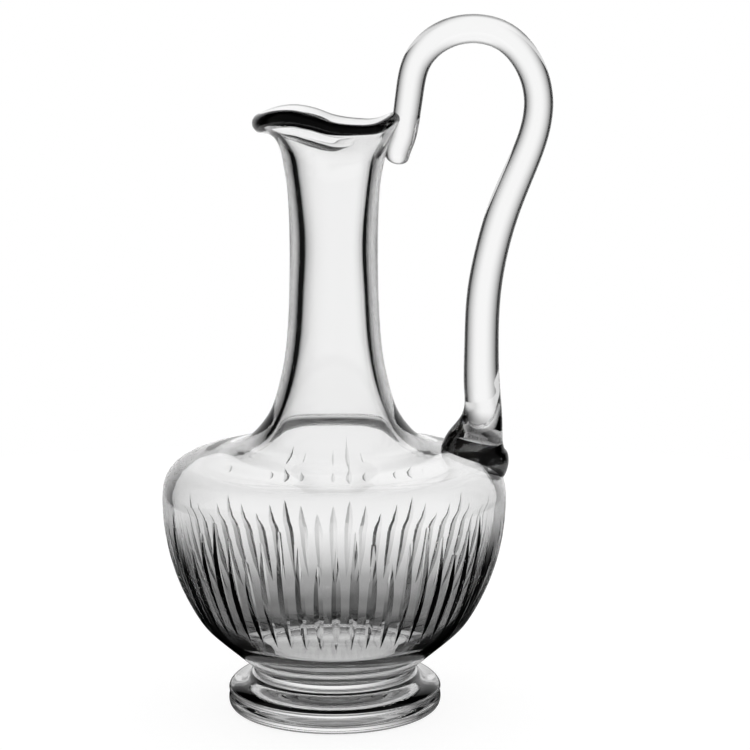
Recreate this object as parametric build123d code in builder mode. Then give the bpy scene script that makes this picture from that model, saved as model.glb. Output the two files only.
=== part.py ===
"""Footed crystal jug with a pulled pouring lip, a tall bow handle and a band of mitre cuts.

Millimetres, +Z up. The origin is the centre of the foot's underside, the pouring lip points
along -X and the handle stands on the +X side.
"""

from build123d import *

import math
import os

# Heights of the joints between the fused gathers of glass
FOOT_TOP = 15.7
MERESE_TOP = 18.7

# Both end directions of a section's curve count with their plain unit length
UNIT_ENDS = (1.0, 1.0)

# Foot and merese
STANDING_RADIUS = 41.5
FOOT_RADIUS = 46.4
FOOT_NECK_RADIUS = 36.2
MERESE_RADIUS = 35.5
MERESE_SEAT_RADIUS = 35.0

# Bowl: its wall is an arc in section, from the foot of the cuts to just above the equator
BOWL_RADIUS = 74.35
BOWL_EQUATOR = 93.0
WALL_ARC = 95.75
WALL_ARC_BOTTOM = 41.0
WALL_ARC_TOP = 95.5
WALL_THICKNESS = 5.0
FLOOR_HEIGHT = 27.0

# Neck: narrowest radii outside and inside, and the radii where the lip starts to open
NECK_RADIUS = 18.8
BORE_RADIUS = 12.4
LIP_START = 234.0
LIP_START_RADIUS = 20.7
LIP_START_BORE = 15.2

# Pouring lip
RIM_BEAD = 2.2
SPOUT_SHARPNESS = 6
BACK_SHARPNESS = 2
OUTLINE_POINTS = 24

# Mitre cuts: V grooves with pointed tops at three staggered heights
CUT_DEPTH = 1.2
CUT_ANGLE = 114.0
CUT_FOOT = 41.0
CUT_TOPS = {"high": 95.0, "middle": 88.5, "low": 81.0}
CUT_PATTERN = ("middle", "high", "middle", "low")
CUT_GROUPS = 15
FIRST_CUT = -88.5
CUT_TOOL_REACH = 7.0
CUT_TOOL_OVERRUN = 4.0

# Handle: points of its centre line (x, z) with the diameter there, from the pad on the
# shoulder over the bow to the cut tip on the back of the neck
HANDLE_STATIONS = (
    ((59.9, 110.1), 31.4),
    ((60.7, 115.6), 27.6),
    ((62.3, 121.8), 21.8),
    ((63.8, 128.4), 17.6),
    ((64.1, 133.4), 16.0),
    ((63.6, 142.0), 15.6),
    ((63.3, 158.0), 14.9),
    ((64.2, 182.1), 14.6),
    ((67.1, 199.3), 14.1),
    ((71.8, 216.4), 13.9),
    ((78.5, 233.4), 13.3),
    ((83.8, 246.9), 12.8),
    ((86.6, 263.7), 12.4),
    ((81.6, 280.5), 12.3),
    ((71.5, 290.8), 12.3),
    ((58.3, 294.0), 12.3),
    ((44.4, 290.0), 12.3),
    ((35.4, 280.4), 12.1),
    ((32.2, 267.1), 11.9),
    ((30.8, 256.6), 11.6),
    ((29.1, 246.9), 10.6),
    ((27.2, 238.8), 8.6),
)
PAD_LEAN = 22.0
PAD_ROOT_DEPTH = 9.0
PAD_ROOT_DIAMETER = 28.6
TIP_ROUNDING = 1.2


def wall_radius(height, inset=0.0):
    """Radius of the bowl's arc-shaped wall at a height, on its face or inset into the glass."""
    centre = BOWL_RADIUS - WALL_ARC
    return centre + math.sqrt((WALL_ARC - inset) ** 2 - (height - BOWL_EQUATOR) ** 2)


def wall_arc(bottom, top, inset=0.0):
    """The bowl wall's arc between two heights."""
    middle = (bottom + top) / 2
    heights = (bottom, middle, top)
    return ThreePointArc(*((wall_radius(z, inset), z) for z in heights))


def lip_outline(side, spout, back):
    """Closed outline of the lip at one height: round, and drawn out to the spout at -X."""
    points = []
    for step in range(OUTLINE_POINTS):
        turn = 2 * math.pi * step / OUTLINE_POINTS
        to_spout = ((1 - math.cos(turn)) / 2) ** SPOUT_SHARPNESS
        to_back = ((1 + math.cos(turn)) / 2) ** BACK_SHARPNESS
        radius = side + (spout - side) * to_spout + (back - side) * to_back
        points.append((radius * math.cos(turn), radius * math.sin(turn)))
    return points


def lip_body(sections):
    """Solid through the lip's outlines, each given as height, side, spout and back radius."""
    with BuildPart() as body:
        for height, side, spout, back in sections:
            with BuildSketch(Plane.XY.offset(height)):
                if side == spout:
                    Circle(side)
                else:
                    with BuildLine():
                        Spline(*lip_outline(side, spout, back), periodic=True)
                    make_face()
        loft()
    return body.part


# Outer form of the bubble: bowl, flat shoulder, slender neck and flared lip
LOWER_BOWL = (
    (MERESE_SEAT_RADIUS, MERESE_TOP),
    (42.0, 24.7),
    (52.4, 33.8),
    (wall_radius(WALL_ARC_BOTTOM), WALL_ARC_BOTTOM),
)

SHOULDER = (
    (wall_radius(WALL_ARC_TOP), WALL_ARC_TOP),
    (72.7, 103.0),
    (69.4, 107.5),
    (63.9, 110.9),
    (54.5, 113.6),
    (44.5, 116.1),
    (36.9, 119.5),
    (31.7, 124.7),
    (27.3, 131.4),
    (24.4, 139.8),
    (21.8, 150.5),
    (20.1, 163.4),
    (19.1, 181.0),
    (NECK_RADIUS, 203.0),
    (19.4, 223.0),
    (LIP_START_RADIUS, LIP_START),
)

LIP_OUTSIDE = (
    (LIP_START, LIP_START_RADIUS, LIP_START_RADIUS, LIP_START_RADIUS),
    (241.0, 22.3, 22.1, 22.3),
    (247.0, 25.0, 25.0, 24.4),
    (251.0, 29.2, 31.8, 26.4),
    (255.0, 32.8, 34.1, 28.0),
    (264.0, 34.4, 34.2, 29.6),
)

with BuildPart() as envelope:
    with BuildSketch(Plane.XZ):
        with BuildLine():
            Spline(*LOWER_BOWL, tangents=((1.0, 0.8), (0.647, 1.0)), tangent_scalars=UNIT_ENDS)
            wall_arc(WALL_ARC_BOTTOM, WALL_ARC_TOP)
            Spline(*SHOULDER, tangents=((-0.026, 1.0), (0.2, 1.0)), tangent_scalars=UNIT_ENDS)
            Polyline(SHOULDER[-1], (0, LIP_START), (0, MERESE_TOP), LOWER_BOWL[0])
        make_face()
    revolve(axis=Axis.Z)
    add(lip_body(LIP_OUTSIDE))

# Hollow of the bubble: a thick floor, an even wall and a heavy, slightly waisted neck
HOLLOW_ARC_BOTTOM = 47.0

HOLLOW_FLOOR = (
    (0.0, FLOOR_HEIGHT),
    (26.0, 27.9),
    (41.0, 32.0),
    (wall_radius(HOLLOW_ARC_BOTTOM, WALL_THICKNESS), HOLLOW_ARC_BOTTOM),
)

HOLLOW_SHOULDER = (
    (wall_radius(WALL_ARC_TOP, WALL_THICKNESS), WALL_ARC_TOP),
    (67.6, 100.8),
    (64.0, 104.4),
    (56.0, 107.7),
    (46.0, 110.2),
    (37.0, 113.7),
    (30.0, 118.6),
    (25.3, 125.2),
    (21.6, 133.5),
    (18.7, 140.5),
    (16.3, 150.5),
    (14.6, 162.0),
    (13.2, 183.0),
    (BORE_RADIUS, 204.0),
    (13.7, 221.0),
    (LIP_START_BORE, LIP_START),
)

LIP_INSIDE = (
    (LIP_START, LIP_START_BORE, LIP_START_BORE, LIP_START_BORE),
    (241.0, 16.6, 16.4, 16.6),
    (247.0, 18.6, 18.5, 18.8),
    (251.0, 21.0, 20.8, 20.8),
    (255.0, 24.2, 24.4, 22.6),
    (264.0, 28.8, 28.6, 24.2),
)

with BuildPart() as hollow:
    with BuildSketch(Plane.XZ):
        with BuildLine():
            Spline(*HOLLOW_FLOOR, tangents=((1.0, 0.0), (0.594, 1.0)), tangent_scalars=UNIT_ENDS)
            wall_arc(HOLLOW_ARC_BOTTOM, WALL_ARC_TOP, WALL_THICKNESS)
            Spline(*HOLLOW_SHOULDER, tangents=((-0.028, 1.0), (0.16, 1.0)),
                   tangent_scalars=UNIT_ENDS)
            Polyline(HOLLOW_SHOULDER[-1], (0, LIP_START), HOLLOW_FLOOR[0])
        make_face()
    revolve(axis=Axis.Z)
    add(lip_body(LIP_INSIDE))

# Crest of the rim seen from the side: low at the spout, with high shoulders behind it, a dip
# along the sides and a rise where it meets the handle
RIM_CREST = (
    (-42.0, 255.5),
    (-31.0, 258.6),
    (-24.0, 260.8),
    (-17.0, 261.3),
    (-9.0, 259.8),
    (0.0, 256.6),
    (9.0, 255.2),
    (18.0, 255.2),
    (25.0, 257.6),
    (34.0, 261.6),
)
RIM_TRIM_TOP = 275.0
RIM_TRIM_WIDTH = 90.0

with BuildPart() as above_rim:
    with BuildSketch(Plane.XZ):
        with BuildLine():
            Spline(*RIM_CREST)
            Polyline(RIM_CREST[-1], (RIM_CREST[-1][0], RIM_TRIM_TOP),
                     (RIM_CREST[0][0], RIM_TRIM_TOP), RIM_CREST[0])
        make_face()
    extrude(amount=RIM_TRIM_WIDTH / 2, both=True)


def cut_tool(top):
    """V-edged ring sector that grinds the mitre cut whose point is at this height, at +X.

    The bottom of the groove is an arc from the cut's point to its foot. It is flatter than
    the wall, so that the cut runs out at both ends and is deepest between them.
    """
    middle = (top + CUT_FOOT) / 2
    bottom_line = ThreePointArc(
        (wall_radius(top), 0, top),
        (wall_radius(middle, CUT_DEPTH), 0, middle),
        (wall_radius(CUT_FOOT), 0, CUT_FOOT),
        mode=Mode.PRIVATE,
    )
    centre = bottom_line.arc_center
    radius = bottom_line.radius
    start = (bottom_line @ 0 - centre).normalized()
    overrun = math.degrees(CUT_TOOL_OVERRUN / radius)
    sector = math.degrees(bottom_line.length / radius) + 2 * overrun
    first = start.rotate(Axis((0, 0, 0), (0, 1, 0)), -overrun)
    half_width = CUT_TOOL_REACH * math.tan(math.radians(CUT_ANGLE / 2))
    section = Plane(origin=centre, x_dir=first, z_dir=first.cross(Vector(0, 1, 0)))
    with BuildPart() as tool:
        with BuildSketch(section):
            with BuildLine():
                Polyline((radius, 0), (radius + CUT_TOOL_REACH, half_width),
                         (radius + CUT_TOOL_REACH, -half_width), close=True)
            make_face()
        revolve(axis=Axis(centre, (0, 1, 0)), revolution_arc=sector)
    return tool.part


# Vessel: one blown bubble with its cuts ground into the wall
cut_tools = {name: cut_tool(top) for name, top in CUT_TOPS.items()}
cut_pitch = 360 / (CUT_GROUPS * len(CUT_PATTERN))

with BuildPart() as vessel:
    add(envelope.part)
    add(hollow.part, mode=Mode.SUBTRACT)
    add(above_rim.part, mode=Mode.SUBTRACT)
    fillet(vessel.faces().sort_by(Axis.Z)[-1].edges(), RIM_BEAD)
    for place, name in enumerate(CUT_PATTERN):
        first_angle = FIRST_CUT + place * cut_pitch
        with PolarLocations(0, CUT_GROUPS, start_angle=first_angle):
            add(cut_tools[name], mode=Mode.SUBTRACT)
vessel.part.label = "vessel"

# Merese: the collar of glass that joins the bowl to the foot
with BuildPart() as merese:
    with BuildSketch(Plane.XZ):
        with BuildLine():
            Line((0, FOOT_TOP), (MERESE_SEAT_RADIUS, FOOT_TOP))
            ThreePointArc((MERESE_SEAT_RADIUS, FOOT_TOP),
                          (MERESE_RADIUS, (FOOT_TOP + MERESE_TOP) / 2),
                          (MERESE_SEAT_RADIUS, MERESE_TOP))
            Polyline((MERESE_SEAT_RADIUS, MERESE_TOP), (0, MERESE_TOP), (0, FOOT_TOP))
        make_face()
    revolve(axis=Axis.Z)
merese.part.label = "merese"

# Foot: a thick disc with a fine line round its rim and a domed top
FOOT_RIM = (
    (STANDING_RADIUS, 0.0),
    (45.2, 1.1),
    (FOOT_RADIUS, 3.6),
    (46.0, 7.3),
)

FOOT_DOME = (
    (46.0, 7.3),
    (FOOT_RADIUS, 9.0),
    (45.0, 11.3),
    (39.0, 14.2),
    (FOOT_NECK_RADIUS, FOOT_TOP),
)

with BuildPart() as foot:
    with BuildSketch(Plane.XZ):
        with BuildLine():
            Spline(*FOOT_RIM, tangents=((1.0, 0.0), (-0.2, 1.0)), tangent_scalars=UNIT_ENDS)
            Spline(*FOOT_DOME, tangents=((0.3, 1.0), (-0.7, 1.0)), tangent_scalars=UNIT_ENDS)
            Polyline(FOOT_DOME[-1], (0, FOOT_TOP), (0, 0), FOOT_RIM[0])
        make_face()
    revolve(axis=Axis.Z)
foot.part.label = "foot"

# Handle: a rod drawn out of its pad, bent over into a bow and pressed on the neck
lean = math.radians(PAD_LEAN)
pad_axis = Vector(math.sin(lean), 0, math.cos(lean))
handle_points = [Vector(x, 0, z) for (x, z), diameter in HANDLE_STATIONS]
handle_diameters = [diameter for point, diameter in HANDLE_STATIONS]

with BuildPart() as handle:
    with BuildLine(mode=Mode.PRIVATE):
        centre_line = Spline(*handle_points, tangents=(pad_axis, (-0.3, 0, -1.0)),
                             tangent_scalars=UNIT_ENDS)
    root = handle_points[0] - pad_axis * PAD_ROOT_DEPTH
    with BuildSketch(Plane(origin=root, x_dir=(0, 1, 0), z_dir=pad_axis)):
        Circle(PAD_ROOT_DIAMETER / 2)
    for point, diameter in zip(handle_points, handle_diameters):
        along = centre_line.tangent_at(centre_line.param_at_point(point))
        with BuildSketch(Plane(origin=point, x_dir=(0, 1, 0), z_dir=along)):
            Circle(diameter / 2)
    loft()
    fillet(handle.faces().filter_by(GeomType.PLANE).sort_by(Axis.Z)[-1].edges(), TIP_ROUNDING)
    add(envelope.part, mode=Mode.SUBTRACT)
handle.part.label = "handle"

os.makedirs("parts", exist_ok=True)
for piece in (vessel, merese, foot, handle):
    export_step(piece.part, f"parts/{piece.part.label}.step")
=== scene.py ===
import math

import bmesh
import bpy
import numpy as np
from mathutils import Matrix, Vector


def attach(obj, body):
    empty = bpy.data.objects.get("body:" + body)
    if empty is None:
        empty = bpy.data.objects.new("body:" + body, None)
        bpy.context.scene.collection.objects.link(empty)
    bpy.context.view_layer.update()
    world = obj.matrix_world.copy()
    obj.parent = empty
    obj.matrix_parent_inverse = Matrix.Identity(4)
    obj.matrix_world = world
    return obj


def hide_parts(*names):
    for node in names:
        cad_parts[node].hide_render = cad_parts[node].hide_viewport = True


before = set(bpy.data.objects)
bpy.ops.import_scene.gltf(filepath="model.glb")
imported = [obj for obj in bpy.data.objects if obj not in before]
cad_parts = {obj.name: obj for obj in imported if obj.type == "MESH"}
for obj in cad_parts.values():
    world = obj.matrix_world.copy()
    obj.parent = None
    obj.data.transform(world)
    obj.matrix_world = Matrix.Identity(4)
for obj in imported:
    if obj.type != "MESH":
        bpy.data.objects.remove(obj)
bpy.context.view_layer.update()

MM = 0.001

# Camera and picture, fitted to the ellipses of the foot and to the near and far cuts
PICTURE_WIDTH = 750
SENSOR_WIDTH = 36.0
CAMERA_DISTANCE = 989 * MM
CAMERA_PITCH = math.radians(9.3)
CAMERA_TARGET = Vector((17.6, 0.0, 146.6)) * MM

# Sizes of the jug, millimetres: the same driving values as the solids
FOOT_TOP = 15.7
MERESE_TOP = 18.7
STANDING_RADIUS = 41.5
FOOT_RADIUS = 46.4
MERESE_RADIUS = 35.5
MERESE_SEAT_RADIUS = 35.0
BOWL_RADIUS = 74.3
BOWL_EQUATOR = 93.0
WALL_ARC = 95.75
WALL_ARC_BOTTOM = 41.0
WALL_ARC_TOP = 95.5
WALL_THICKNESS = 5.0
FLOOR_HEIGHT = 27.0
NECK_RADIUS = 18.8
BORE_RADIUS = 12.4
LIP_START = 234.0
LIP_START_RADIUS = 20.7
LIP_START_BORE = 15.2

# Mitre cuts
CUT_DEPTH = 1.2
CUT_ANGLE = math.radians(114)
CUT_FOOT = 41.0
CUT_TOPS = (88.5, 95.0, 88.5, 81.0)
CUT_COUNT = 60
FIRST_CUT = math.radians(-88.5)

# Rings of the turned mesh, and the half degree that brings its columns onto the cuts
TURN_STEPS = 180
COLUMN_SHIFT = math.radians(0.5)
LIP_RINGS = 44
BEAD_RINGS = 16


def select_only(piece):
    """Selects one object and nothing else, ready for an operator."""
    bpy.ops.object.select_all(action="DESELECT")
    piece.select_set(True)
    bpy.context.view_layer.objects.active = piece


def spline_through(knots, start, end, count):
    """Points evenly spread on a smooth curve through the knots, with given end directions."""
    knots = np.array(knots, float)
    chord = np.hypot(*np.diff(knots, axis=0).T)
    at = np.concatenate(([0.0], np.cumsum(chord)))
    size = len(knots)
    rule = np.zeros((size, size))
    value = np.zeros((size, 2))
    rule[0, 0] = rule[-1, -1] = 1.0
    value[0] = np.array(start) / np.hypot(*start)
    value[-1] = np.array(end) / np.hypot(*end)
    for i in range(1, size - 1):
        before, after = chord[i - 1], chord[i]
        rule[i, i - 1: i + 2] = after, 2 * (before + after), before
        value[i] = 3 * (after * (knots[i] - knots[i - 1]) / before
                        + before * (knots[i + 1] - knots[i]) / after)
    slope = np.linalg.solve(rule, value)
    points = []
    for place in np.linspace(0.0, at[-1], count + 1):
        i = min(int(np.searchsorted(at, place, side="right")) - 1, size - 2)
        step = chord[i]
        t = (place - at[i]) / step
        points.append(tuple(
            (2 * t ** 3 - 3 * t ** 2 + 1) * knots[i] + (t ** 3 - 2 * t ** 2 + t) * step * slope[i]
            + (3 * t ** 2 - 2 * t ** 3) * knots[i + 1] + (t ** 3 - t ** 2) * step * slope[i + 1]))
    return points


def wall_radius(height, inset=0.0):
    """Radius of the bowl's arc-shaped wall at a height, on its face or inset into the glass."""
    return (BOWL_RADIUS - WALL_ARC
            + math.sqrt((WALL_ARC - inset) ** 2 - (height - BOWL_EQUATOR) ** 2))


def wall_run(bottom, top, count, inset=0.0):
    """Points up the bowl's wall between two heights."""
    return [(wall_radius(z, inset), z) for z in np.linspace(bottom, top, count + 1)]


def jug_outline():
    """Half section of the jug, from the middle of its foot up and over the rim to its floor.

    Above LIP_START the neck is a straight tube with a round rim, which draw_out_lip shapes.
    """
    foot_rim = spline_through(
        ((STANDING_RADIUS, 0.0), (45.2, 1.1), (FOOT_RADIUS, 3.6), (46.0, 7.3)),
        (1.0, 0.0), (-0.2, 1.0), 10)
    foot_dome = spline_through(
        ((46.0, 7.3), (FOOT_RADIUS, 9.0), (45.0, 11.3), (39.0, 14.2), (36.2, FOOT_TOP)),
        (0.3, 1.0), (-0.7, 1.0), 16)
    collar = [(MERESE_SEAT_RADIUS, FOOT_TOP), (35.38, 16.4), (MERESE_RADIUS, 17.2),
              (35.38, 18.0)]
    lower_bowl = spline_through(
        ((MERESE_SEAT_RADIUS, MERESE_TOP), (42.0, 24.7), (52.4, 33.8),
         (wall_radius(WALL_ARC_BOTTOM), WALL_ARC_BOTTOM)),
        (1.0, 0.8), (0.647, 1.0), 14)
    wall = wall_run(WALL_ARC_BOTTOM, WALL_ARC_TOP, 62)
    shoulder = spline_through(
        ((wall_radius(WALL_ARC_TOP), WALL_ARC_TOP), (72.7, 103.0), (69.4, 107.5),
         (63.9, 110.9), (54.5, 113.6), (44.5, 116.1), (36.9, 119.5), (31.7, 124.7),
         (27.3, 131.4), (24.4, 139.8), (21.8, 150.5), (20.1, 163.4), (19.1, 181.0),
         (NECK_RADIUS, 203.0), (19.4, 223.0), (LIP_START_RADIUS, LIP_START)),
        (-0.026, 1.0), (0.2, 1.0), 52)
    lip_steps = np.linspace(LIP_START, LIP_START + 1.0, LIP_RINGS + 1)
    rim_middle = (LIP_START_RADIUS + LIP_START_BORE) / 2
    rim_half = (LIP_START_RADIUS - LIP_START_BORE) / 2
    bead = [(rim_middle + rim_half * math.cos(turn), LIP_START + 1.0 + math.sin(turn))
            for turn in np.linspace(0, math.pi, BEAD_RINGS + 1)]
    inner_shoulder = spline_through(
        ((wall_radius(WALL_ARC_TOP, WALL_THICKNESS), WALL_ARC_TOP), (67.6, 100.8),
         (64.0, 104.6), (57.0, 107.2), (49.5, 109.2), (39.5, 111.5), (33.0, 114.3),
         (27.5, 119.6), (22.3, 130.2), (18.7, 140.5), (16.3, 150.5), (14.6, 162.0),
         (13.2, 183.0), (BORE_RADIUS, 204.0), (13.7, 221.0), (LIP_START_BORE, LIP_START)),
        (-0.028, 1.0), (0.16, 1.0), 48)
    inner_wall = wall_run(47.0, WALL_ARC_TOP, 24, WALL_THICKNESS)
    floor = spline_through(
        ((0.0, FLOOR_HEIGHT), (26.0, 27.9), (41.0, 32.0), inner_wall[0]),
        (1.0, 0.0), (0.594, 1.0), 20)
    outline = [(0.0, 0.0), (20.0, 0.0), (40.0, 0.0)]
    outline += foot_rim + foot_dome[1:] + collar + lower_bowl + wall[1:] + shoulder[1:]
    outline += [(LIP_START_RADIUS, z) for z in lip_steps[1:]] + bead[1:]
    outline += [(LIP_START_BORE, z) for z in lip_steps[-2::-1]]
    outline += inner_shoulder[-2::-1] + inner_wall[-2::-1] + floor[-2::-1]
    return outline


def turn_jug():
    """Turns the half section into the bubble, fused with its merese and foot."""
    bpy.ops.object.select_all(action="DESELECT")
    bpy.ops.mesh.primitive_plane_add(size=MM)
    jug = bpy.context.active_object
    jug.name = jug.data.name = "crystal_jug"
    bpy.ops.object.mode_set(mode="EDIT")
    bpy.ops.mesh.merge(type="CENTER")
    outline = jug_outline()
    start = Vector((outline[0][0], 0, outline[0][1])) * MM
    bpy.ops.transform.translate(value=start)
    for (r0, z0), (r1, z1) in zip(outline, outline[1:]):
        step = Vector((r1 - r0, 0, z1 - z0)) * MM
        bpy.ops.mesh.extrude_region_move(TRANSFORM_OT_translate={"value": step})
    bpy.ops.mesh.select_all(action="SELECT")
    bpy.ops.mesh.spin(steps=TURN_STEPS, angle=2 * math.pi, center=(0, 0, 0), axis=(0, 0, 1))
    bpy.ops.mesh.select_all(action="SELECT")
    bpy.ops.mesh.remove_doubles(threshold=0.002 * MM)
    bpy.ops.transform.rotate(value=COLUMN_SHIFT, orient_axis="Z", center_override=(0, 0, 0))
    bpy.ops.mesh.normals_make_consistent(inside=False)
    bpy.ops.mesh.select_all(action="DESELECT")
    bpy.ops.object.mode_set(mode="OBJECT")
    return jug


# Lip in section (radius, height) where its crest is at LIP_CREST: at the sides it rolls over
# outwards, at the spout it is drawn out further, and at the back it stands against the handle
LIP_CREST = 258.1
LIP_OUTSIDE = {
    "side": ((22.3, 241.0), (25.2, 245.8), (29.2, 248.9), (33.0, 250.6)),
    "spout": ((22.0, 241.0), (23.8, 246.0), (27.0, 249.1), (31.0, 249.8)),
    "back": ((22.3, 241.0), (24.3, 247.0), (26.4, 252.0), (28.3, 256.0)),
}
LIP_INSIDE = {
    "side": ((16.6, 241.0), (19.2, 249.0), (24.0, 254.6), (30.5, 257.8)),
    "spout": ((16.4, 241.0), (19.0, 248.6), (23.4, 254.6), (29.6, 257.8)),
    "back": ((16.6, 241.0), (18.6, 247.0), (21.2, 252.5), (23.6, 257.4)),
}
RIM_CREST = (
    (-42.0, 255.5),
    (-31.0, 258.6),
    (-24.0, 260.8),
    (-17.0, 261.3),
    (-9.0, 259.8),
    (0.0, 256.6),
    (9.0, 255.2),
    (18.0, 255.2),
    (25.0, 257.6),
    (34.0, 261.6),
)
SPOUT_SHARPNESS = 6
BACK_SHARPNESS = 2


def eased(table, column, at):
    """Smooth value of a table's column at a place in its first column."""
    places = np.array([row[0] for row in table])
    values = np.array([row[column] for row in table])
    slopes = np.gradient(values, places)
    i = min(max(int(np.searchsorted(places, at, side="right")) - 1, 0), len(places) - 2)
    width = places[i + 1] - places[i]
    t = (at - places[i]) / width
    return ((2 * t ** 3 - 3 * t ** 2 + 1) * values[i] + (t ** 3 - 2 * t ** 2 + t) * width * slopes[i]
            + (3 * t ** 2 - 2 * t ** 3) * values[i + 1] + (t ** 3 - t ** 2) * width * slopes[i + 1])


def lip_section(turn):
    """Points of the lip's section in a direction: up its outside, over the bead, and inside."""
    to_spout = ((1 - math.cos(turn)) / 2) ** SPOUT_SHARPNESS
    to_back = ((1 + math.cos(turn)) / 2) ** BACK_SHARPNESS
    faces = []
    for start, face in ((LIP_START_RADIUS, LIP_OUTSIDE), (LIP_START_BORE, LIP_INSIDE)):
        side, spout, back = (np.array(face[name]) for name in ("side", "spout", "back"))
        faces.append(np.vstack(([(start, LIP_START)], side + (spout - side) * to_spout
                                + (back - side) * to_back)))
    crest = eased(RIM_CREST, 1, (faces[0][-1][0] + faces[1][-1][0]) / 2 * math.cos(turn))
    for face in faces:
        rise = np.clip((face[:, 1] - LIP_START) / 19.0, 0, 1)
        face[:, 1] += (crest - LIP_CREST) * rise ** 2 * (3 - 2 * rise)
    across = (faces[0][-1] - faces[1][-1]) / 2
    middle = (faces[0][-1] + faces[1][-1]) / 2
    outward = np.array((-across[1], across[0])) / np.hypot(*across)
    outside = spline_through(faces[0], (0.2, 1.0), outward, LIP_RINGS)
    inside = spline_through(faces[1], (0.16, 1.0), outward, LIP_RINGS)
    lift = np.hypot(*across)
    bead = [tuple(middle + across * math.cos(t) + outward * lift * math.sin(t))
            for t in np.linspace(0, math.pi, BEAD_RINGS + 1)]
    return outside, bead, inside


def draw_out_lip(jug):
    """Rolls the straight end of the neck outwards and pulls its front down into the spout."""
    sections = {}
    wall_middle = (LIP_START_RADIUS + LIP_START_BORE) / 2
    for vertex in jug.data.vertices:
        x, y, z = vertex.co / MM
        if z <= LIP_START + 1e-4:
            continue
        turn = round(math.atan2(y, x), 5)
        if turn not in sections:
            sections[turn] = lip_section(turn)
        outside, bead, inside = sections[turn]
        across = (math.hypot(x, y) - wall_middle) / (LIP_START_RADIUS - wall_middle)
        rise = z - LIP_START
        if rise > 1.0 + 1e-5:
            place = round(math.atan2(rise - 1.0, across) / math.pi * BEAD_RINGS)
            radius, height = bead[place]
        else:
            radius, height = (outside if across > 0 else inside)[round(rise * LIP_RINGS)]
        vertex.co = Vector((radius * math.cos(turn), radius * math.sin(turn), height)) * MM


def grind_cuts(jug):
    """Grinds the V cuts: in each pitch one line of vertices sinks and its neighbours open.

    The band under the equator is split once more round the jug first, so that each pitch
    has a line for the bottom of the groove, one for each edge and three on the land.
    """
    select_only(jug)
    mesh = jug.data
    band = (CUT_FOOT - 1.0, WALL_ARC_TOP + 0.2)
    bpy.ops.object.mode_set(mode="EDIT")
    bpy.ops.mesh.select_mode(type="EDGE")
    edit = bmesh.from_edit_mesh(mesh)
    for edge in edit.edges:
        a, b = (v.co / MM for v in edge.verts)
        level = abs(a.z - b.z) < 1e-3
        outside = math.hypot(a.x, a.y) > wall_radius(min(max(a.z, 30.0), 110.0), 2.0)
        edge.select = level and outside and band[0] < a.z < band[1]
    bmesh.update_edit_mesh(mesh)
    bpy.ops.mesh.subdivide(number_cuts=1)
    bpy.ops.mesh.select_all(action="DESELECT")
    bpy.ops.object.mode_set(mode="OBJECT")
    pitch = 2 * math.pi / CUT_COUNT
    bottoms = [groove_bottom(top) for top in CUT_TOPS]
    for vertex in mesh.vertices:
        x, y, z = vertex.co / MM
        if not band[0] < z < band[1]:
            continue
        if math.hypot(x, y) < wall_radius(z, 2.0):
            continue
        turn = math.atan2(y, x) - FIRST_CUT
        index = round(turn / pitch)
        offset = turn / pitch - index
        line = round(offset * 6)
        depth = max(0.0, wall_radius(z) - bottoms[index % 4](z))
        half = depth * math.tan(CUT_ANGLE / 2) / wall_radius(z) / pitch
        if depth > 0 and abs(line) < 3:
            open_to = {0: 0.0, 1: half, 2: half + (0.5 - half) * 0.5}[abs(line)]
            offset = math.copysign(open_to, line)
        angle = FIRST_CUT + (index + offset) * pitch
        radius = wall_radius(z) - (depth if line == 0 else 0.0)
        vertex.co = Vector((radius * math.cos(angle), radius * math.sin(angle), z)) * MM


def groove_bottom(top):
    """Radius of a groove's bottom line at a height: an arc from its point to its foot."""
    middle = (top + CUT_FOOT) / 2
    a = np.array((wall_radius(top), top))
    b = np.array((wall_radius(middle, CUT_DEPTH), middle))
    c = np.array((wall_radius(CUT_FOOT), CUT_FOOT))
    rule = 2 * np.array((b - a, c - a))
    centre = np.linalg.solve(rule, (b @ b - a @ a, c @ c - a @ a))
    arc = np.hypot(*(a - centre))

    def radius_at(z):
        if not CUT_FOOT < z < top:
            return math.inf
        return centre[0] + math.sqrt(arc ** 2 - (z - centre[1]) ** 2)

    return radius_at


# Handle: points of its centre line (x, z) with the diameter there, from inside the shoulder
# over the bow to the cut tip on the back of the neck
HANDLE_STATIONS = (
    (59.1, 108.1, 30.6),
    (59.9, 110.1, 31.2),
    (60.7, 115.6, 27.6),
    (62.3, 121.8, 21.8),
    (63.8, 128.4, 17.6),
    (64.1, 133.4, 16.0),
    (63.6, 142.0, 15.6),
    (63.3, 158.0, 14.9),
    (64.2, 182.1, 14.6),
    (67.1, 199.3, 14.1),
    (71.8, 216.4, 13.9),
    (78.5, 233.4, 13.3),
    (83.8, 246.9, 12.8),
    (86.6, 263.7, 12.4),
    (81.6, 280.5, 12.3),
    (71.5, 290.8, 12.3),
    (58.3, 293.9, 12.2),
    (44.4, 290.0, 12.3),
    (35.4, 280.4, 12.1),
    (32.2, 267.1, 11.9),
    (30.8, 256.6, 11.6),
    (29.0, 247.4, 11.0),
    (27.2, 242.0, 10.5),
    (26.5, 236.4, 8.4),
)


HANDLE_STEPS = 1000
PAD_STEPS = 110
HANDLE_BOW_X = 40.0
TIP_DEPTH = 3.4
TIP_SQUARENESS = 0.95


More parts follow.
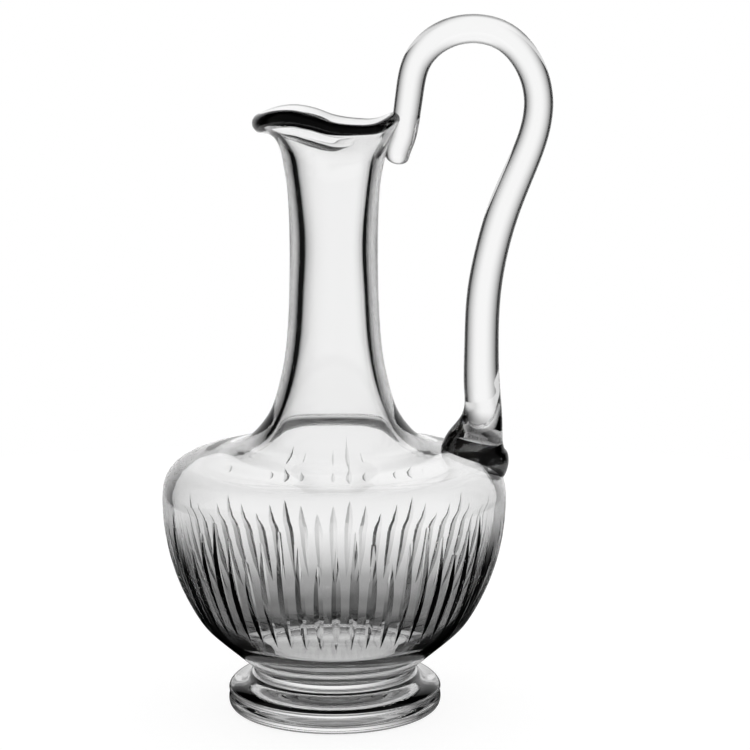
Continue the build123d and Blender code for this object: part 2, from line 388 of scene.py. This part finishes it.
def draw_handle():
    """Draws the handle as a rod of changing thickness along its centre line."""
    bpy.ops.object.select_all(action="DESELECT")
    bpy.ops.curve.primitive_bezier_curve_add()
    rod = bpy.context.active_object
    line = rod.data
    fine = np.array(spline_through([(x, z) for x, z, _ in HANDLE_STATIONS],
                                   (0.4, 1.0), (-0.3, -1.0), HANDLE_STEPS))
    lengths = np.concatenate(([0.0], np.cumsum(
        np.hypot(*np.diff(np.array([(x, z) for x, z, _ in HANDLE_STATIONS]), axis=0).T))))
    thickness = [(length, station[2]) for length, station in zip(lengths, HANDLE_STATIONS)]
    kept = list(range(0, PAD_STEPS, 2)) + list(range(PAD_STEPS, len(fine), 5))
    spots = np.linspace(0, lengths[-1], len(fine))
    path = fine[kept]
    rings = [(place, eased(thickness, 1, spot)) for place, spot in zip(path, spots[kept])]
    onward = (path[-1] - path[-2]) / np.hypot(*(path[-1] - path[-2]))
    rings = [(place, size) for place, size in rings if onward @ (path[-1] - place) > TIP_DEPTH
             or place[0] > HANDLE_BOW_X]
    place, size = rings[-1]
    for turn in np.radians((18, 34, 48, 60, 70, 78, 84, 89)):
        rings.append((place + onward * TIP_DEPTH * math.sin(turn),
                      size * math.cos(turn) ** TIP_SQUARENESS))
    line.splines.clear()
    run = line.splines.new("POLY")
    run.points.add(len(rings) - 1)
    for point, ((x, z), size) in zip(run.points, rings):
        point.co = (x * MM, 0, z * MM, 1)
        point.radius = size
    line.dimensions = "3D"
    line.bevel_depth = MM / 2
    line.bevel_resolution = 36
    line.use_fill_caps = True
    bpy.ops.object.convert(target="MESH")
    rod = bpy.context.active_object
    rod.name = "handle_rod"
    bpy.ops.object.transform_apply()
    bpy.ops.object.mode_set(mode="EDIT")
    bpy.ops.mesh.select_all(action="SELECT")
    bpy.ops.mesh.remove_doubles(threshold=0.002 * MM)
    bpy.ops.mesh.normals_make_consistent(inside=False)
    bpy.ops.object.mode_set(mode="OBJECT")
    return rod


def fuse(jug, rod):
    """Fuses the handle into the wall, so that the glass is one body without inner faces."""
    select_only(jug)
    seal = jug.modifiers.new("seal", "BOOLEAN")
    seal.operation = "UNION"
    seal.solver = "EXACT"
    seal.object = rod
    bpy.ops.object.modifier_apply(modifier=seal.name)
    bpy.data.objects.remove(rod, do_unlink=True)
    bpy.ops.object.shade_smooth_by_angle(angle=math.radians(24))


def linear(hex_colour):
    """Linear colour of an sRGB hex value."""
    parts = [int(hex_colour[i:i + 2], 16) / 255 for i in (1, 3, 5)]
    return [c / 12.92 if c <= 0.04045 else ((c + 0.055) / 1.055) ** 2.4 for c in parts] + [1.0]


def node(tree, kind, settings=None, inputs=None):
    """Adds a node with its settings, and its inputs as values or as sockets to link from."""
    made = tree.nodes.new(kind)
    for name, value in (settings or {}).items():
        setattr(made, name, value)
    for name, value in (inputs or {}).items():
        socket = made.inputs[name]
        if isinstance(value, bpy.types.NodeSocket):
            tree.links.new(value, socket)
        else:
            socket.default_value = value
    return made


def lead_crystal():
    """Fire-polished lead crystal: colourless, very bright, with a high index. Painted shade: above
    the foot a third of the light that is thrown back inside the glass is dropped, so that rims
    and thick parts turn black. The flat foot keeps it all and stays bright."""
    material = bpy.data.materials.new("fire_polished_lead_crystal")
    material.use_nodes = True
    tree = material.node_tree
    glass = tree.nodes["Principled BSDF"]
    glass.inputs["Base Color"].default_value = linear("#FBFBFB")
    glass.inputs["Roughness"].default_value = 0.0
    glass.inputs["IOR"].default_value = 1.545
    glass.inputs["Transmission Weight"].default_value = 1.0
    # Painted shade: a refraction without reflection, which drops the light thrown back inside the
    # glass
    painted_dark_rims = node(tree, "ShaderNodeBsdfRefraction", None,
                     {"Color": linear("#FBFBFB"), "Roughness": 0.0, "IOR": 1.545})
    place = node(tree, "ShaderNodeTexCoord").outputs["Object"]
    height = node(tree, "ShaderNodeSeparateXYZ", None, {0: place}).outputs["Z"]
    # Mask of the painted shade: full glass on the foot, a third painted dark rims above the merese
    clear = fading(tree, height, MERESE_TOP * MM, 1.5 * MERESE_TOP * MM, 1.0, 0.65)
    both = node(tree, "ShaderNodeMixShader", None,
                {0: clear, 1: painted_dark_rims.outputs[0], 2: glass.outputs[0]})
    tree.links.new(both.outputs[0], tree.nodes["Material Output"].inputs["Surface"])
    return material


def build_jug():
    jug = turn_jug()
    draw_out_lip(jug)
    grind_cuts(jug)
    fuse(jug, draw_handle())
    jug.data.materials.clear()
    jug.data.materials.append(lead_crystal())
    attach(jug, "root")
    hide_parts("vessel", "merese", "foot", "handle")
    return jug


FLOOR_RADIUS = 0.6
# Table top, metres: start and end radius where its painted light and shade in the glass change: the
# painted light under the foot, the painted contact shadow round it, where that painted shade fades
# out, and the far level
TABLE_PAINTED_FOOT_LIGHT = (0.038, 0.050)
TABLE_PAINTED_CONTACT_SHADOW = (0.055, 0.11)
TABLE_PAINTED_SHADE_FADE = (0.12, 0.36)
TABLE_FAR = (0.18, 0.42)

# Sheets of light round the jug, each the product of a broad glow and a firmer edge: azimuth
# of the middle (clockwise from +Y), where the glow starts to fade and where it ends, where
# the sheet itself starts to end and where it ends, all in degrees, and brightness
SHEETS = (
    (4, 6, 60, 44, 48, 1.0),
    (184, 85, 125, 98, 106, 0.85),
)
ROOM_DARK = 0.004
REFLECTED_SHARE = 0.15


def fading(tree, value, start, end, low=1.0, high=0.0):
    """Socket that goes smoothly from one strength to another between two values."""
    fade = node(tree, "ShaderNodeMapRange", {"interpolation_type": "SMOOTHSTEP"},
                {"Value": value, "From Min": start, "From Max": end,
                 "To Min": low, "To Max": high})
    return fade.outputs[0]


def combined(tree, operation, first, second):
    """Socket with the result of a sum of two values."""
    return node(tree, "ShaderNodeMath", {"operation": operation}, {0: first, 1: second}).outputs[0]


def sheet_light(tree, direction):
    """Socket with the brightness of the sheets of light in a direction from the jug.

    The sheet before the jug shines through it, and hardly shows as a reflection.
    """
    ray = node(tree, "ShaderNodeLightPath")
    hidden = fading(tree, ray.outputs["Is Transmission Ray"], 0.0, 1.0, REFLECTED_SHARE, 1.0)
    total = ROOM_DARK
    for middle, glow_start, glow_end, edge_start, edge_end, strength in SHEETS:
        a = math.radians(middle)
        along = node(tree, "ShaderNodeVectorMath", {"operation": "DOT_PRODUCT"},
                     {0: direction, 1: (math.sin(a), math.cos(a), 0)})
        across = node(tree, "ShaderNodeVectorMath", {"operation": "DOT_PRODUCT"},
                      {0: direction, 1: (math.cos(a), -math.sin(a), 0)})
        angle = combined(tree, "ARCTAN2", across.outputs["Value"], along.outputs["Value"])
        away = node(tree, "ShaderNodeMath", {"operation": "ABSOLUTE"}, {0: angle}).outputs[0]
        glow = fading(tree, away, math.radians(glow_start), math.radians(glow_end), strength)
        edge = fading(tree, away, math.radians(edge_start), math.radians(edge_end))
        if abs(middle) > 45:
            edge = combined(tree, "MULTIPLY", edge, hidden)
        total = combined(tree, "MAXIMUM", total, combined(tree, "MULTIPLY", glow, edge))
    return total


def build_floor():
    """Pale table top: white to the camera but for the jug's soft shadow. In the glass it shows
    painted light and shade: a painted contact shadow that darkens it towards the jug, a painted
    pool of light right under the foot, and the sheets' light painted on it."""
    bpy.ops.object.select_all(action="DESELECT")
    bpy.ops.mesh.primitive_circle_add(vertices=128, radius=FLOOR_RADIUS, fill_type="NGON",
                                      location=(0, 0, -0.0002))
    floor = bpy.context.active_object
    floor.name = "studio_floor"
    material = bpy.data.materials.new("pale_table_top")
    material.use_nodes = True
    tree = material.node_tree
    tree.nodes.clear()
    ray = node(tree, "ShaderNodeLightPath")
    place = node(tree, "ShaderNodeTexCoord").outputs["Object"]
    reach = node(tree, "ShaderNodeVectorMath", {"operation": "LENGTH"}, {0: place})
    reach = reach.outputs["Value"]
    painted_contact_shadow = fading(tree, reach, *TABLE_PAINTED_CONTACT_SHADOW, 0.01, 0.24)
    painted_shade_near_jug = combined(tree, "ADD", painted_contact_shadow, fading(tree, reach, *TABLE_PAINTED_SHADE_FADE, 0.0, 0.76))
    # Painted pool of the sheets' light on the table, within the painted shade near the jug, and at
    # least the far level
    lit = combined(tree, "MAXIMUM", combined(tree, "MULTIPLY", painted_shade_near_jug, sheet_light(tree, place)),
                   fading(tree, reach, *TABLE_FAR, 0.0, 0.75))
    painted_light_in_glass = combined(tree, "ADD", fading(tree, reach, *TABLE_PAINTED_FOOT_LIGHT, 0.5, 0.0), lit)
    # Camera rays see an even white; all other rays see the table's painted light and shade
    strength = node(tree, "ShaderNodeMix", {"data_type": "FLOAT"},
                    {"Factor": ray.outputs["Is Camera Ray"], "A": painted_light_in_glass, "B": 0.86})
    glow = node(tree, "ShaderNodeEmission", None,
                {"Color": linear("#FFFFFF"), "Strength": strength.outputs[0]})
    paint = node(tree, "ShaderNodeBsdfDiffuse", None, {"Color": (0.22, 0.22, 0.22, 1)})
    seen_paint = node(tree, "ShaderNodeMixShader", None,
                      {0: ray.outputs["Is Camera Ray"], 2: paint.outputs[0]})
    both = node(tree, "ShaderNodeAddShader", None,
                {0: glow.outputs[0], 1: seen_paint.outputs[0]})
    node(tree, "ShaderNodeOutputMaterial", None, {"Surface": both.outputs[0]})
    floor.data.materials.append(material)
    return floor


def build_world():
    """White backdrop, and the sheets of light that the glass shows: bright behind the jug,
    dark beside it, with a dimmer ceiling."""
    world = bpy.data.worlds.new("studio")
    bpy.context.scene.world = world
    world.use_nodes = True
    tree = world.node_tree
    tree.nodes.clear()
    place = node(tree, "ShaderNodeTexCoord").outputs["Generated"]
    split = node(tree, "ShaderNodeSeparateXYZ", None, {0: place})
    ceiling = fading(tree, split.outputs["Z"], math.sin(math.radians(38)),
                     math.sin(math.radians(68)), 1.0, 0.25)
    studio = node(tree, "ShaderNodeMath", {"operation": "MULTIPLY"},
                  {0: sheet_light(tree, place), 1: ceiling})
    ray = node(tree, "ShaderNodeLightPath")
    through = node(tree, "ShaderNodeMath", {"operation": "MAXIMUM"},
                   {0: ray.outputs["Is Glossy Ray"], 1: ray.outputs["Is Transmission Ray"]})
    soft_room = node(tree, "ShaderNodeMix", {"data_type": "FLOAT"},
                     {"Factor": through.outputs[0], "A": 0.8, "B": studio.outputs[0]})
    shown = node(tree, "ShaderNodeMath", {"operation": "MAXIMUM"},
                 {0: soft_room.outputs[0], 1: ray.outputs["Is Camera Ray"]})
    back = node(tree, "ShaderNodeBackground", None,
                {"Color": (1, 1, 1, 1), "Strength": shown.outputs[0]})
    node(tree, "ShaderNodeOutputWorld", None, {"Surface": back.outputs[0]})


def place_camera():
    """Camera a little above the jug, with the photograph's angle and framing."""
    data = bpy.data.cameras.new("camera")
    camera = bpy.data.objects.new("camera", data)
    bpy.context.scene.collection.objects.link(camera)
    back = Vector((0, -math.cos(CAMERA_PITCH), math.sin(CAMERA_PITCH)))
    camera.location = CAMERA_TARGET + back * CAMERA_DISTANCE
    camera.rotation_euler = (math.pi / 2 - CAMERA_PITCH, 0, 0)
    data.sensor_width = SENSOR_WIDTH
    pixels_per_metre = 1 / (0.43 * MM)
    data.lens = CAMERA_DISTANCE * pixels_per_metre / PICTURE_WIDTH * SENSOR_WIDTH
    data.dof.use_dof = False
    bpy.context.scene.camera = camera


build_jug()
build_floor()
build_world()
place_camera()

scene = bpy.context.scene
scene.view_settings.view_transform = "Standard"
scene.cycles.max_bounces = 32
scene.cycles.transmission_bounces = 28
scene.cycles.glossy_bounces = 16
